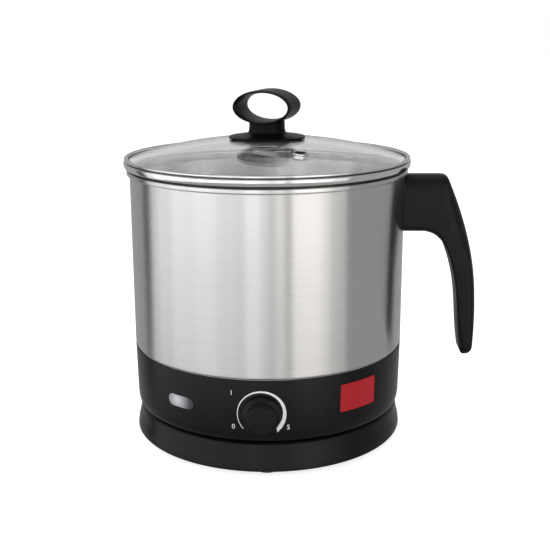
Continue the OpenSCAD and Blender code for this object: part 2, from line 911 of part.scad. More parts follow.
// Printed arc round the dial, wider towards the strong end.
function scale_width(a) = 0.4 + 2.2 * pow((scale_start - a) / (scale_start - scale_end), 2);
function scale_outline() = concat(
    [for (a = [scale_end:5:scale_start]) scale_r * [cos(a), sin(a)]],
    [for (a = [scale_start:-5:scale_end + 8]) (scale_r - scale_width(a)) * [cos(a), sin(a)]]
);

module dial_scale() {
    color([0.88, 0.88, 0.88])
    intersection() {
        difference() {
            collar_solid(trim_t, collar_z + collar_bevel, collar_top - 2);
            collar_solid(0, collar_z + collar_bevel, collar_top - 2);
        }
        to_front(dial_z) translate([0, 0, body_r - 15]) linear_extrude(30) polygon(scale_outline());
    }
}

module badge() {
    color([0.75, 0.12, 0.15])
    intersection() {
        difference() {
            collar_solid(badge_t, collar_z + collar_bevel, collar_top - 2);
            collar_solid(0, collar_z + collar_bevel, collar_top - 2);
        }
        translate([0, 0, collar_z + 20.8])
        rotate([90, 0, badge_angle])
        translate([0, 0, body_r - 15])
        linear_extrude(30)
        rounded_rect(-badge_w / 2, -badge_h / 2, badge_w, badge_h, 0.8);
    }
}

// ---------- handle ----------

// The handle's side view: an outer and an inner line in the XZ plane, with equal numbers of points.
function out(x, z) = [body_r + x, handle_top + z];
block_start = -3;
outer_curve = [
    out(block_reach, -2.5),
    out(grip_gap + grip_w - 3.5, -41.2),
    out(grip_gap + grip_w, -65),
    out(grip_gap + grip_w - 2.8, 5.8 - handle_len),
];
inner_curve = [
    out(grip_gap - 8.6, -block_h - 9),
    out(grip_gap + 1.8, -63.9),
    out(grip_gap - 0.8, -84.2),
    out(grip_gap + 2.7, 4.9 - handle_len),
];
arm_steps = 12;
outer_line = concat(
    [for (x = [block_start, 5, 12, 16]) out(x, 0)],
    [out(block_reach - 5, 0), out(block_reach - 2.4, -0.3), out(block_reach - 0.8, -1.2)],
    [for (i = [0:arm_steps]) bezier(outer_curve, i / arm_steps)]
);
inner_line = concat(
    [for (x = [block_start, 5, 9, 12]) out(x, -block_h)],
    [
        out(grip_gap - 16.5, -block_h - 1.2),
        out(grip_gap - 13.7, -block_h - 2.9),
        out(grip_gap - 11.2, -block_h - 5.3),
    ],
    [for (i = [0:arm_steps]) bezier(inner_curve, i / arm_steps)]
);
line_last = len(outer_line) - 1;
tip_angles = [25, 45, 62, 76, 87];
tip_len = 4.9;

// Half the depth at a point of the line: the block is deep, the arm tapers.
function half_depth(i) =
    i < 7 ? block_depth / 2
    : block_depth / 2 + (grip_depth - block_depth) / 2 * min(1, (i - 6) / 5);

// A rounded section between two points of the side view.
function section(a, b, half_y, round_a, round_b, steps = 5) =
    let (
        half = norm(a - b) / 2,
        mid = (a + b) / 2,
        u = (a - b) / norm(a - b),
        ra = min(round_a, half * 0.96, half_y * 0.96),
        rb = min(round_b, half * 0.96, half_y * 0.96),
        corners = [
            [half - ra, half_y - ra, ra, 0],
            [rb - half, half_y - rb, rb, 90],
            [rb - half, rb - half_y, rb, 180],
            [half - ra, ra - half_y, ra, 270],
        ]
    )
    [for (c = corners, k = [0:steps])
        let (t = c[3] + 90 * k / steps, p = c[0] + c[2] * cos(t), q = c[1] + c[2] * sin(t))
        [mid[0] + u[0] * p, q, mid[1] + u[1] * p]];

// The two lines of a strip between the shares s0 and s1 of the way from the inner to the outer line.
function strip_point(i, s) = inner_line[i] + s * (outer_line[i] - inner_line[i]);
function cover_share(i) = cover_t / norm(outer_line[i] - inner_line[i]);

module handle_skin(is_cover) {
    body_rings = [for (i = [0:line_last])
        let (share = cover_share(i))
        is_cover
            ? section(strip_point(i, share), inner_line[i], half_depth(i) - 0.3, 0.5, 2.6)
            : section(outer_line[i], strip_point(i, share), half_depth(i), i < 8 ? 9 : 7.5, 0.6)];
    tip_rings = [for (t = tip_angles)
        let (
            share = cover_share(line_last),
            a = is_cover ? strip_point(line_last, share) : outer_line[line_last],
            b = is_cover ? inner_line[line_last] : strip_point(line_last, share),
            mid = (outer_line[line_last] + inner_line[line_last]) / 2,
            down = [0, -tip_len * sin(t)],
            pa = mid + (a - mid) * cos(t) + down,
            pb = mid + (b - mid) * cos(t) + down,
            hy = grip_depth / 2 - tip_len * (1 - cos(t)) - (is_cover ? 0.3 : 0)
        )
        section(pa, pb, hy, is_cover ? 0.5 : 7.5, is_cover ? 2.6 : 0.6)];
    skin(concat(body_rings, tip_rings));
}

bracket_x = body_r + 17;
tongue_z = handle_top - block_h / 2;
handle_screw_x = body_r + 10.5;
handle_screw_r = 2;
handle_seat_z = handle_top - block_h + cover_t - 0.05;

// The steel bracket's space: a curved foot on the wall and a flat tongue.
module bracket_solid(grow) {
    intersection() {
        disc(body_r + 1.6 + grow, tongue_z - 11 - grow, tongue_z + 11 + grow);
        box(0, body_r + 5, -8.5 - grow, 8.5 + grow, 0, 400);
    }
    box(body_r - 1, bracket_x + grow, -7 - grow, 7 + grow, tongue_z - 1.5 - grow, tongue_z + 1.5 + grow);
}

module handle_grip() {
    color([0.1, 0.1, 0.11])
    difference() {
        handle_skin(false);
        disc(body_r + 0.1, 0, 400);
        bracket_solid(0.15);
        translate([handle_screw_x, 0, 0]) {
            disc(handle_screw_r + 0.1, tongue_z - 30, tongue_z + 9);
            disc(4, 0, handle_seat_z);
        }
    }
}

module handle_cover() {
    color([0.15, 0.15, 0.16])
    difference() {
        handle_skin(true);
        disc(body_r + 0.1, 0, 400);
        translate([handle_screw_x, 0, 0]) {
            disc(handle_screw_r + 0.2, tongue_z - 30, tongue_z);
            disc(4, 0, handle_seat_z + 1);
        }
    }
}

module handle_bracket() {
    color([0.7, 0.7, 0.72])
    difference() {
        bracket_solid(0);
        disc(body_r, 0, 400);
        translate([handle_screw_x, 0, 0]) disc(handle_screw_r + 0.1, 0, 400);
    }
}

module handle_screw() {
    color([0.62, 0.63, 0.65])
    translate([handle_screw_x, 0, handle_seat_z])
    screw_up(handle_screw_r, 3.6, cover_t - 0.4, tongue_z + 8 - handle_seat_z);
}

// ---------- lid ----------

// Steel band: a flat web that rests on the rim, a skirt inside the mouth, a rounded wall that leans
// out, and a bead that is rolled over the edge of the glass.
module lid_band() {
    bead_r = 1;
    bead_in = band_r - 0.6 - bead_r;
    wall_top = band_h - 1.7;
    color([0.8, 0.8, 0.8])
    rotate_extrude()
    difference() {
        union() {
            translate([skirt_r - skirt_t, lid_z]) square([body_r + 0.8 - skirt_r + skirt_t, 1.4]);
            translate([0, lid_z])
            polygon(concat(
                [[body_r + 0.2, 0.8]],
                arc(band_r - 1.6, 1.8, 1, -90, -15),
                arc(band_r - 1.2, wall_top - 1.2, 1.2, -15, 90),
                [[band_r - 1.6, wall_top], [band_r - 1.6, band_h - 0.5], [body_r + 0.2, band_h - 0.5]]
            ));
            translate([bead_in, lid_z + band_h - bead_r]) circle(r = bead_r, $fn = 48);
            translate([skirt_r - skirt_t, lid_z - skirt_h + 0.4]) square([skirt_t, skirt_h]);
            translate([skirt_r - skirt_t / 2, lid_z - skirt_h + 0.4]) circle(r = skirt_t / 2, $fn = 24);
        }
        translate([0, glass_seat_z]) square([glass_r + 0.05, glass_edge_z - glass_seat_z + 0.1]);
    }
}

module at_vent() {
    translate([0, 0, dome_centre_z])
    rotate([0, 0, vent_angle - 90])
    rotate([0, vent_tilt, 0])
    translate([0, 0, dome_r])
    children();
}

module lid_glass() {
    color([0.8, 0.88, 0.9, 0.4])
    difference() {
        intersection() {
            translate([0, 0, dome_centre_z]) sphere(r = dome_r, $fn = 360);
            disc(glass_r, lid_z, glass_top_z + 20);
        }
        translate([0, 0, dome_centre_z]) sphere(r = dome_r - glass_t, $fn = 360);
        disc(lid_hole_r, lid_z, glass_top_z + 1);
        at_vent() disc(vent_hole_r, -glass_t - 3, 3);
    }
}

module vent_eyelet() {
    color([0.82, 0.82, 0.82])
    at_vent()
    rotate_extrude()
    polygon([
        [vent_r, -glass_t - 1.1],
        [vent_r, 0.8],
        [vent_r + 0.4, 1.15],
        [vent_flange_r - 0.8, 1.15],
        [vent_flange_r, 0.75],
        [vent_flange_r, 0.35],
        [vent_hole_r - 0.1, 0.35],
        [vent_hole_r - 0.1, -glass_t - 0.5],
        [vent_flange_r - 0.8, -glass_t - 0.5],
        [vent_flange_r - 0.8, -glass_t - 1.1],
    ]);
}

module vent_washer() {
    color([0.1, 0.1, 0.1])
    at_vent()
    ring(vent_flange_r - 0.3, vent_hole_r, 0.05, 0.35);
}

// Wall of the hoop, drawn along its hole: distance along the hole and depth into the wall.
hoop_wall = [
    [-0.5, 0.5],
    [-0.47, 0.15],
    [-0.43, 0],
    [0.43, 0],
    [0.47, 0.15],
    [0.5, 0.5],
    [0.5, 0.85],
    [0.47, 1.15],
    [0.3, hoop_t - 0.2],
    [0, hoop_t],
    [-0.3, hoop_t - 0.2],
    [-0.47, 1.15],
    [-0.5, 0.85],
];

// The hoop's oval, drawn a distance inside its outer line.
function oval(inset, turns = 48) =
    [for (i = [0:turns - 1])
        [(hoop_w / 2 - inset) * cos(360 * i / turns), (hoop_h / 2 - inset) * sin(360 * i / turns)]];

module hoop() {
    n = len(hoop_wall);
    turns = 48;
    ovals = [for (w = hoop_wall) oval(w[1], turns)];
    points = [for (i = [0:turns - 1], k = [0:n - 1])
        [ovals[k][i][0], hoop_wall[k][0] * hoop_depth, ovals[k][i][1]]];
    faces = [for (i = [0:turns - 1], k = [0:n - 1])
        let (
            j = (i + 1) % turns,
            l = (k + 1) % n
        )
        each [[i * n + k, j * n + l, i * n + l], [i * n + k, j * n + k, j * n + l]]];
    polyhedron(points = points, faces = faces);
}

module at_hoop() {
    translate([0, 0, hoop_z]) rotate([0, 0, -hoop_turn]) children();
}

module lid_knob() {
    color([0.1, 0.1, 0.11])
    difference() {
        union() {
            difference() {
                rotate_extrude()
                polygon([
                    [0, flange_z],
                    [flange_r - 0.4, flange_z],
                    [flange_r, flange_z + 0.4],
                    [flange_r, flange_z + 0.9],
                    [flange_r - 0.6, flange_z + 1.4],
                    [stem_r + 3, flange_z + 2.5],
                    [stem_r + 0.6, flange_z + 3.2],
                    [stem_r, flange_z + 5.5],
                    [stem_r - 0.2, flange_z + stem_h + 4],
                    [0, flange_z + stem_h + 4],
                ]);
                at_hoop()
                rotate([90, 0, 0])
                linear_extrude(2 * hoop_depth, center = true)
                polygon(oval(0.6));
            }
            at_hoop() hoop();
        }
        translate([0, 0, dome_centre_z]) sphere(r = dome_r + 0.1, $fn = 360);
        disc(knob_washer_r + 0.2, flange_z - 1, glass_top_z + knob_washer_t);
        disc(lid_screw_r + 0.1, flange_z - 1, flange_z + stem_h - 1);
    }
}

module knob_washer() {
    color([0.2, 0.2, 0.2])
    ring(knob_washer_r, lid_screw_r + 0.4, glass_top_z, glass_top_z + knob_washer_t);
}

module lid_seal() {
    color([0.75, 0.75, 0.75])
    intersection() {
        ring(lid_seal_r, lid_screw_r + 0.4, glass_top_z - glass_t - lid_seal_t, glass_top_z);
        translate([0, 0, dome_centre_z]) sphere(r = dome_r - glass_t, $fn = 360);
    }
}

module lid_cup_washer() {
    color([0.8, 0.8, 0.8])
    rotate_extrude()
    translate([0, glass_top_z - glass_t - lid_seal_t])
    polygon([
        [lid_screw_r + 0.2, -cup_washer_t],
        [cup_washer_r - 3, -cup_washer_t],
        [cup_washer_r, 1 - cup_washer_t],
        [cup_washer_r, 0],
        [lid_screw_r + 0.2, 0],
    ]);
}

module lid_screw() {
    bottom = glass_top_z - glass_t - lid_seal_t - cup_washer_t;
    color([0.78, 0.78, 0.8])
    translate([0, 0, bottom])
    screw_up(lid_screw_r, 4.5, 2.6, flange_z + stem_h - 2 - bottom);
}

// ---------- the assembly ----------

base_shell();
base_cover();
for (i = [1:4]) base_foot(i);
for (i = [1:3]) base_screw(i);
base_socket();
contact_centre();
contact_ring();
cord_gland();
terminal_block();
for (i = [1:3]) base_lead(i);
pot_shell();
heat_plate();
heating_element();
collar();
collar_seal();
collar_floor();
for (i = [1:3]) collar_screw(i);
for (i = [1:3]) collar_nut(i);
pot_connector();
connector_core();
connector_pin();
connector_ring();
thermostat_body();
thermostat_bracket();
for (i = [1:2]) bracket_screw(i);
thermal_fuse();
lamp_lens();
lamp_bulb();
for (i = [1:3]) pot_lead(i);
dial_knob();
dial_spindle();
dial_scale();
badge();
handle_grip();
handle_cover();
handle_bracket();
handle_screw();
lid_band();
lid_glass();
vent_eyelet();
vent_washer();
lid_knob();
knob_washer();
lid_seal();
lid_cup_washer();
lid_screw();
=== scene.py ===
"""Looks of the cordless electric hot pot with a loose glass lid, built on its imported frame.

Lengths are in millimetres and turned into metres where a mesh is made. Z is the pot's axis,
the dial faces -Y and the handle reaches +X.
"""
import math

import bmesh
import bpy
from mathutils import Matrix, Vector

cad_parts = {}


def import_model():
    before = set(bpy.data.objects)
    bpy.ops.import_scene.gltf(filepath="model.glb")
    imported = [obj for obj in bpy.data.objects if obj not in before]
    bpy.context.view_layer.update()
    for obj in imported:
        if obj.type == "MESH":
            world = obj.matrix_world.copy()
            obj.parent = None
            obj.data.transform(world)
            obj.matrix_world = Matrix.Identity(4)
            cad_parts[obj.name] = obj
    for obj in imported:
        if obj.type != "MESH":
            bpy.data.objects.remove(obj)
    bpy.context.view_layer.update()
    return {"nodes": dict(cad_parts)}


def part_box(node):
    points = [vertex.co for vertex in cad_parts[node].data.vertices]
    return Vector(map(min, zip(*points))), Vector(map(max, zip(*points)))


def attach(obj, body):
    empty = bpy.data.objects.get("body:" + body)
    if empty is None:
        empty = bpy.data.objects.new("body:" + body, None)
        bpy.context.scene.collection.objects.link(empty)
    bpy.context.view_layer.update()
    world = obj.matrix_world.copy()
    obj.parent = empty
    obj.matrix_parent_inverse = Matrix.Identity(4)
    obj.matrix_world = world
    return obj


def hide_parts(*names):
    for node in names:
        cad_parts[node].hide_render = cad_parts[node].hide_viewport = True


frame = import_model()
MM = 0.001


# ---------- sizes, read from the frame ----------

def span(node):
    """A node's lowest and highest corner in millimetres."""
    low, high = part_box(node)
    return [v / MM for v in low], [v / MM for v in high]


COLLAR_LOW, COLLAR_HIGH = span("collar")
POT_HIGH = span("pot_shell")[1]
BAND_HIGH = span("lid_band")[1]
BASE_LOW, BASE_HIGH = span("base_shell")
KNOB_LOW, KNOB_HIGH = span("lid_knob")
DIAL_LOW, DIAL_HIGH = span("dial_knob")
GRIP_HIGH = span("handle_grip")[1]
GLASS_HIGH = span("lid_glass")[1]
FOOT_LOW, FOOT_HIGH = span("base_foot_1")

BODY_R = round(COLLAR_HIGH[0], 1)
COLLAR_Z = COLLAR_LOW[2]
COLLAR_TOP = COLLAR_HIGH[2]
COLLAR_BEVEL = 5
COLLAR_TAPER = 0.6
SEAM_Z = COLLAR_TOP + 0.3
CUP_Z = SEAM_Z - 4.5
RIM_TOP = POT_HIGH[2]
RIM_H = 3.0
RIM_W = 2.7
STEEL_T = 1.0
WALL_INNER_R = BODY_R - STEEL_T
BAND_R = BAND_HIGH[0]
BASE_TOP = BASE_HIGH[2]
BASE_BOTTOM = BASE_LOW[2]
DISH_Z = BASE_TOP - 4
DIAL_Z = (DIAL_LOW[2] + DIAL_HIGH[2]) / 2
DIAL_R = (DIAL_HIGH[2] - DIAL_LOW[2]) / 2
DIAL_BACK = -DIAL_HIGH[1]
DIAL_LEN = DIAL_HIGH[1] - DIAL_LOW[1]
GLASS_TOP = GLASS_HIGH[2]
GLASS_R = GLASS_HIGH[0]
GLASS_T = 4.0
DOME_H = 11.7
DOME_EDGE_R = GLASS_R - 0.6
DOME_R = (DOME_EDGE_R ** 2 + DOME_H ** 2) / (2 * DOME_H)
DOME_CENTRE = GLASS_TOP - DOME_R
HANDLE_TOP = GRIP_HIGH[2]
FEET = 4

# The handle's block, its grip and the cover strip under it.
BLOCK_H = 31.7
BLOCK_HALF_DEPTH = 12
GRIP_HALF_DEPTH = 9
BLOCK_ROUND = 9
GRIP_ROUND = 7.5
INNER_ROUND = 0.7
COVER_T = 1.8
COVER_INSET = 0.3
TIP_LEN = 4.9
GRIP_STEPS = 12

# The steam vent's place on the dome and the radius of its bore.
VENT_DIST = 48.5
VENT_ANGLE = 24.0
VENT_TILT = math.asin(VENT_DIST / DOME_R)
VENT_R = 3.0

# The knob's oval hoop.
HOOP_W = 34.5
HOOP_H = 19.2
HOOP_DEPTH = 24.0
HOOP_T = 2.0
HOOP_RIM_T = 1.15
HOOP_TURN = 15.7
HOOP_STEPS = 96


# ---------- mesh helpers ----------

def link(name, data):
    """A new object of the scene around its data."""
    obj = bpy.data.objects.new(name, data)
    bpy.context.scene.collection.objects.link(obj)
    return obj


def mesh_object(name, verts, faces, sharp=35):
    """A smooth-shaded object from points in millimetres, with edges sharper than an angle kept crisp."""
    mesh = bpy.data.meshes.new(name)
    mesh.from_pydata([Vector(v) * MM for v in verts], [], faces)
    mesh.validate()
    tidy = bmesh.new()
    tidy.from_mesh(mesh)
    bmesh.ops.recalc_face_normals(tidy, faces=tidy.faces)
    tidy.to_mesh(mesh)
    tidy.free()
    mesh.polygons.foreach_set("use_smooth", [True] * len(mesh.polygons))
    mesh.set_sharp_from_angle(angle=math.radians(sharp))
    return link(name, mesh)


def rounded(corners, steps=5):
    """A closed outline through (r, z, radius) corners, each rounded by its radius."""
    outline = []
    count = len(corners)
    for i, (r, z, radius) in enumerate(corners):
        here = Vector((r, z))
        before = Vector(corners[i - 1][:2]) - here
        after = Vector(corners[(i + 1) % count][:2]) - here
        if radius <= 0 or before.length == 0 or after.length == 0:
            outline.append((r, z))
            continue
        a, b = before.normalized(), after.normalized()
        half = a.angle(b) / 2
        if half > math.radians(88):
            outline.append((r, z))
            continue
        reach = min(radius / math.tan(half), 0.48 * before.length, 0.48 * after.length)
        radius = reach * math.tan(half)
        centre = here + (a + b).normalized() * (radius / math.sin(half))
        start, end = here + a * reach - centre, here + b * reach - centre
        turn = start.angle_signed(end)
        for k in range(steps + 1):
            arm = start.copy()
            arm.rotate(Matrix.Rotation(-turn * k / steps, 2))
            outline.append(tuple(centre + arm))
    return outline


def lathe(name, outline, steps):
    """Turns a closed outline of (r, z) points about the Z axis."""
    verts, rings = [], []
    for r, z in outline:
        if r < 1e-4:
            rings.append([len(verts)] * steps)
            verts.append((0, 0, z))
            continue
        rings.append(list(range(len(verts), len(verts) + steps)))
        for k in range(steps):
            a = 2 * math.pi * k / steps
            verts.append((r * math.cos(a), r * math.sin(a), z))
    faces = []
    for i, low in enumerate(rings):
        high = rings[(i + 1) % len(rings)]
        for k in range(steps):
            n = (k + 1) % steps
            face = list(dict.fromkeys((low[k], low[n], high[n], high[k])))
            if len(face) > 2:
                faces.append(face)
    return mesh_object(name, verts, faces)


def turned(obj, matrix):
    """Moves a mesh's points, so that its object stays at the origin."""
    obj.data.transform(matrix)
    return obj


def front_facing(z):
    """Turns a shape along +Z to run out of the front, along -Y, at a height in millimetres."""
    return Matrix.Translation((0, 0, z * MM)) @ Matrix.Rotation(math.radians(90), 4, "X")


def cut(obj, cutter):
    """Cuts one object's shape out of another and removes the cutter."""
    modifier = obj.modifiers.new("cut", "BOOLEAN")
    modifier.object = cutter
    modifier.solver = "EXACT"
    shaped = bpy.data.meshes.new_from_object(obj.evaluated_get(bpy.context.evaluated_depsgraph_get()))
    obj.modifiers.clear()
    old = obj.data
    shaped.name = old.name
    obj.data = shaped
    obj.data.set_sharp_from_angle(angle=math.radians(35))
    bpy.data.meshes.remove(old)
    bpy.data.objects.remove(cutter)


def box_object(name, low, high):
    """A plain box that only serves as a cutter."""
    (x0, y0, z0), (x1, y1, z1) = low, high
    verts = [(x, y, z) for x in (x0, x1) for y in (y0, y1) for z in (z0, z1)]
    faces = [(0, 1, 3, 2), (4, 6, 7, 5), (0, 4, 5, 1), (2, 3, 7, 6), (0, 2, 6, 4), (1, 5, 7, 3)]
    return mesh_object(name, verts, faces)


def bezier(points, t):
    """The point at a share t along a cubic curve with four control points."""
    a, b, c, d = (Vector(p) for p in points)
    return (1 - t) ** 3 * a + 3 * (1 - t) ** 2 * t * b + 3 * (1 - t) * t * t * c + t ** 3 * d


def skin(name, rings, sharp, closed=False):
    """A smooth skin through equal rings of points, capped at both ends or joined round."""
    n, m = len(rings[0]), len(rings)
    verts = [p for ring in rings for p in ring]
    faces = [(j * n + k, j * n + (k + 1) % n, (j + 1) % m * n + (k + 1) % n, (j + 1) % m * n + k)
             for j in range(m if closed else m - 1) for k in range(n)]
    if not closed:
        faces += [tuple(range(n)), tuple(range((m - 1) * n, m * n))]
    return mesh_object(name, verts, faces, sharp)


# ---------- material helpers ----------

class Shader:
    """A new material and short calls to add and join its nodes."""

    def __init__(self, name):
        self.material = bpy.data.materials.new(name)
        self.material.use_nodes = True
        self.nodes = self.material.node_tree.nodes
        self.links = self.material.node_tree.links
        self.surface = self.nodes["Principled BSDF"]

    def add(self, kind, settings=None, **inputs):
        """A node with its settings and inputs; an input is named, or i and its number."""
        node = self.nodes.new("ShaderNode" + kind)
        for key, value in (settings or {}).items():
            setattr(node, key, value)
        for key, value in inputs.items():
            self.feed(node, key.replace("_", " "), value)
        return node

    def feed(self, node, socket, value):
        """Sets an input, or joins another node's output to it."""
        numbered = socket[0] == "i" and socket[1:].isdigit()
        target = node.inputs[int(socket[1:]) if numbered else socket]
        if isinstance(value, bpy.types.NodeSocket):
            self.links.new(value, target)
        else:
            target.default_value = value

    def math(self, operation, a, b=0.0):
        """The result of an operation on two values."""
        return self.add("Math", {"operation": operation}, i0=a, i1=b).outputs[0]

    def place(self):
        """The point on the piece, in metres in the shared frame."""
        return self.add("TexCoord").outputs["Object"]

    def noise(self, vector, scale, detail=3.0, roughness=0.5):
        """Noise between 0 and 1, with its scale in cells per metre."""
        node = self.add("TexNoise", None, Vector=vector, Scale=scale, Detail=detail, Roughness=roughness)
        return node.outputs["Fac"]

    def ramp(self, value, stops):
        """A colour for a value, from (value, colour) stops."""
        node = self.add("ValToRGB", None, Fac=value)
        ends = node.color_ramp.elements
        while len(ends) < len(stops):
            ends.new(0.5)
        for end, (at, colour) in zip(ends, stops):
            end.position = at
            end.color = (*colour, 1)
        return node.outputs["Color"]

    def remap(self, value, low, high, source=(0.3, 0.7)):
        """A value from a source range, stretched to run from low to high."""
        node = self.add("MapRange", None, Value=value, From_Min=source[0], From_Max=source[1],
                        To_Min=low, To_Max=high)
        return node.outputs["Result"]

    def bump(self, height, depth, strength=1.0):
        """Relief of a depth in metres."""
        node = self.add("Bump", None, Height=height, Distance=depth, Strength=strength)
        self.feed(self.surface, "Normal", node.outputs["Normal"])

    def wrap(self, around, along):
        """Cylinder coordinates about the pot's axis, stretched by the two rates per metre."""
        split = self.add("SeparateXYZ", None, Vector=self.place())
        x, y, z = split.outputs
        angle = self.math("ARCTAN2", x, self.math("MULTIPLY", y, -1.0))
        radius = BODY_R * MM
        join = self.add("CombineXYZ", None, X=self.math("MULTIPLY", angle, radius * around),
                        Y=self.math("MULTIPLY", z, along))
        return join.outputs["Vector"]


def steel(name, colour, roughness, brushing, anisotropy, around=30, along=2500, painted_reflection=0.0):
    """Stainless steel brushed round the pot's axis, with a painted reflection: upright bands darker by a
    share.
    """
    s = Shader(name)
    fine = s.noise(s.wrap(around, along), 1.0, 4.0, 0.65)
    broad = s.noise(s.wrap(around * 0.3, along * 0.16), 1.0, 2.0, 0.5)
    cloud = s.noise(s.place(), 18.0, 2.0)
    tone = s.math("ADD", s.math("MULTIPLY", fine, 0.6), s.math("MULTIPLY", broad, 0.4))
    darker = tuple(c * (1 - brushing) for c in colour)
    shade = s.ramp(tone, [(0.3, darker), (0.7, colour)])
    # Painted reflection: upright noise bands darken the colour by a share, standing in for dark things that
    # the steel reflects.
    if painted_reflection:
        dim = (1 - painted_reflection,) * 3
        painted_bands = s.ramp(s.noise(s.wrap(24, 0.6), 1.0, 2.0), [(0.4, dim), (0.56, (1, 1, 1))])
        multiply = {"data_type": "RGBA", "blend_type": "MULTIPLY"}
        shade = s.add("Mix", multiply, i0=1.0, i6=shade, i7=painted_bands).outputs[2]
    s.feed(s.surface, "Base Color", shade)
    worn = s.math("ADD", s.math("MULTIPLY", tone, 0.5), s.math("MULTIPLY", cloud, 0.5))
    s.feed(s.surface, "Roughness", s.remap(worn, roughness * 0.85, roughness * 1.15))
    s.feed(s.surface, "Metallic", 1.0)
    s.feed(s.surface, "Anisotropic", anisotropy)
    s.feed(s.surface, "Anisotropic Rotation", 0.25)
    tangent = s.add("Tangent", {"direction_type": "RADIAL", "axis": "Z"})
    s.feed(s.surface, "Tangent", tangent.outputs["Tangent"])
    s.bump(fine, 0.00001, 0.5)
    return s.material


def bright_metal(name, colour, roughness):
    """Polished or plated metal with faint smears and specks."""
    s = Shader(name)
    smear = s.noise(s.place(), 60.0, 3.0)
    speck = s.noise(s.place(), 900.0, 2.0)
    dull = tuple(c * 0.9 for c in colour)
    s.feed(s.surface, "Base Color", s.ramp(smear, [(0.3, dull), (0.7, colour)]))
    s.feed(s.surface, "Metallic", 1.0)
    s.feed(s.surface, "Roughness", s.remap(smear, roughness * 0.7, roughness * 1.4))
    s.bump(speck, 0.00001, 0.3)
    return s.material


def plastic(name, colour, roughness, grain=0.00003, grain_scale=2600.0, shine=0.5):
    """Moulded plastic with a fine spark-eroded grain and slightly uneven gloss."""
    s = Shader(name)
    grit = s.noise(s.place(), grain_scale, 2.0, 0.6)
    cloud = s.noise(s.place(), 25.0, 3.0)
    lighter = tuple(min(1.0, c * 1.25) for c in colour)
    s.feed(s.surface, "Base Color", s.ramp(cloud, [(0.35, colour), (0.7, lighter)]))
    s.feed(s.surface, "Roughness", s.remap(cloud, roughness * 0.9, roughness * 1.1))
    s.feed(s.surface, "Specular IOR Level", shine)
    s.bump(grit, grain, 0.5)
    return s.material


def clear_glass(name):
    """Tempered glass: clear, a trace of grey-green, and light passes to what is under it."""
    s = Shader(name)
    smear = s.noise(s.place(), 35.0, 3.0)
    tint, clear = (0.97, 0.985, 0.98), (0.985, 0.995, 0.99)
    s.feed(s.surface, "Base Color", s.ramp(smear, [(0.3, tint), (0.7, clear)]))
    s.feed(s.surface, "Roughness", s.remap(smear, 0.0, 0.02))
    s.feed(s.surface, "IOR", 1.5)
    s.feed(s.surface, "Transmission Weight", 1.0)
    through = s.add("BsdfTransparent", None, Color=(0.93, 0.95, 0.94, 1))
    path = s.add("LightPath")
    mix = s.add("MixShader", None, Fac=path.outputs["Is Shadow Ray"])
    s.links.new(s.surface.outputs["BSDF"], mix.inputs[1])
    s.links.new(through.outputs["BSDF"], mix.inputs[2])
    s.links.new(mix.outputs["Shader"], s.nodes["Material Output"].inputs["Surface"])
    return s.material


def frosted_lens(name):
    """The lamp's lens: milky grey, with a painted highlight towards its upper left that fades to painted
    shade elsewhere.
    """
    s = Shader(name)
    low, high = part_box("lamp_lens")
    # Painted highlight and shade: the colour runs from dark to milky grey towards a point at the lens's upper
    # left.
    bright = (low[0] * 0.68 + high[0] * 0.32, (low[1] + high[1]) / 2, low[2] * 0.4 + high[2] * 0.6)
    offset = s.add("VectorMath", {"operation": "DISTANCE"}, i0=s.place(), i1=bright)
    haze = s.noise(s.place(), 900.0, 2.0)
    reach = s.math("ADD", offset.outputs["Value"], s.math("MULTIPLY", haze, 0.0008))
    painted_highlight = s.remap(reach, 1.0, 0.0, (0.0005, 0.0095))
    dark, milky = (0.04, 0.04, 0.045), (0.62, 0.62, 0.66)
    s.feed(s.surface, "Base Color", s.ramp(painted_highlight, [(0.0, dark), (1.0, milky)]))
    s.feed(s.surface, "Roughness", s.remap(haze, 0.22, 0.32))
    s.bump(haze, 0.00003, 0.4)
    return s.material


MATERIALS = {
    "steel": steel("brushed steel", (0.66, 0.65, 0.64), 0.27, 0.10, 0.98),
    # Painted light: lighter than the outer steel so that the inside seen through the glass looks brighter,
    # and with painted reflection bands.
    "inner steel with painted light": steel("inner steel with painted light", (0.90, 0.90, 0.90), 0.22, 0.06, 0.9, 30, 1800, 0.5),
    "band": bright_metal("polished band", (0.80, 0.80, 0.80), 0.10),
    # Near-black metal for the band's gap and groove: painted shade.
    "painted shade": bright_metal("painted groove shade", (0.05, 0.05, 0.05), 0.45),
    "chrome": bright_metal("chrome", (0.86, 0.86, 0.86), 0.07),
    "zinc": bright_metal("zinc plate", (0.55, 0.55, 0.57), 0.35),
    "brass": bright_metal("contact brass", (0.72, 0.52, 0.22), 0.28),
    "aluminium": bright_metal("cast aluminium", (0.6, 0.6, 0.62), 0.5),
    "black": plastic("satin black plastic", (0.005, 0.005, 0.0052), 0.26, shine=0.14),
    "soft black": plastic("soft black plastic", (0.005, 0.005, 0.0052), 0.36, 0.00003, 1800.0, 0.14),
    "knob black": plastic("knob black", (0.003, 0.003, 0.0032), 0.28, 0.00002, shine=0.06),
    "rubber": plastic("black rubber", (0.018, 0.018, 0.018), 0.75, 0.00006, 1200.0),
    "silicone": plastic("grey silicone", (0.32, 0.32, 0.32), 0.5, 0.00003),
    "cream": plastic("cream plastic", (0.62, 0.58, 0.48), 0.5),
    "wire": plastic("wire jacket", (0.42, 0.06, 0.05), 0.4),
    "print": plastic("silver print", (0.72, 0.72, 0.73), 0.35, 0.00001, 4000.0),
    "red": plastic("red plate", (0.34, 0.006, 0.012), 0.35, 0.00002, 3000.0, 0.3),
    "lens": frosted_lens("lamp lens"),
    "bulb": plastic("lamp glass", (0.7, 0.35, 0.2), 0.2, 0.00001),
    "glass": clear_glass("clear glass"),
}


def three(name):
    """The names of a piece that comes three times."""
    return [f"{name}_{i}" for i in (1, 2, 3)]


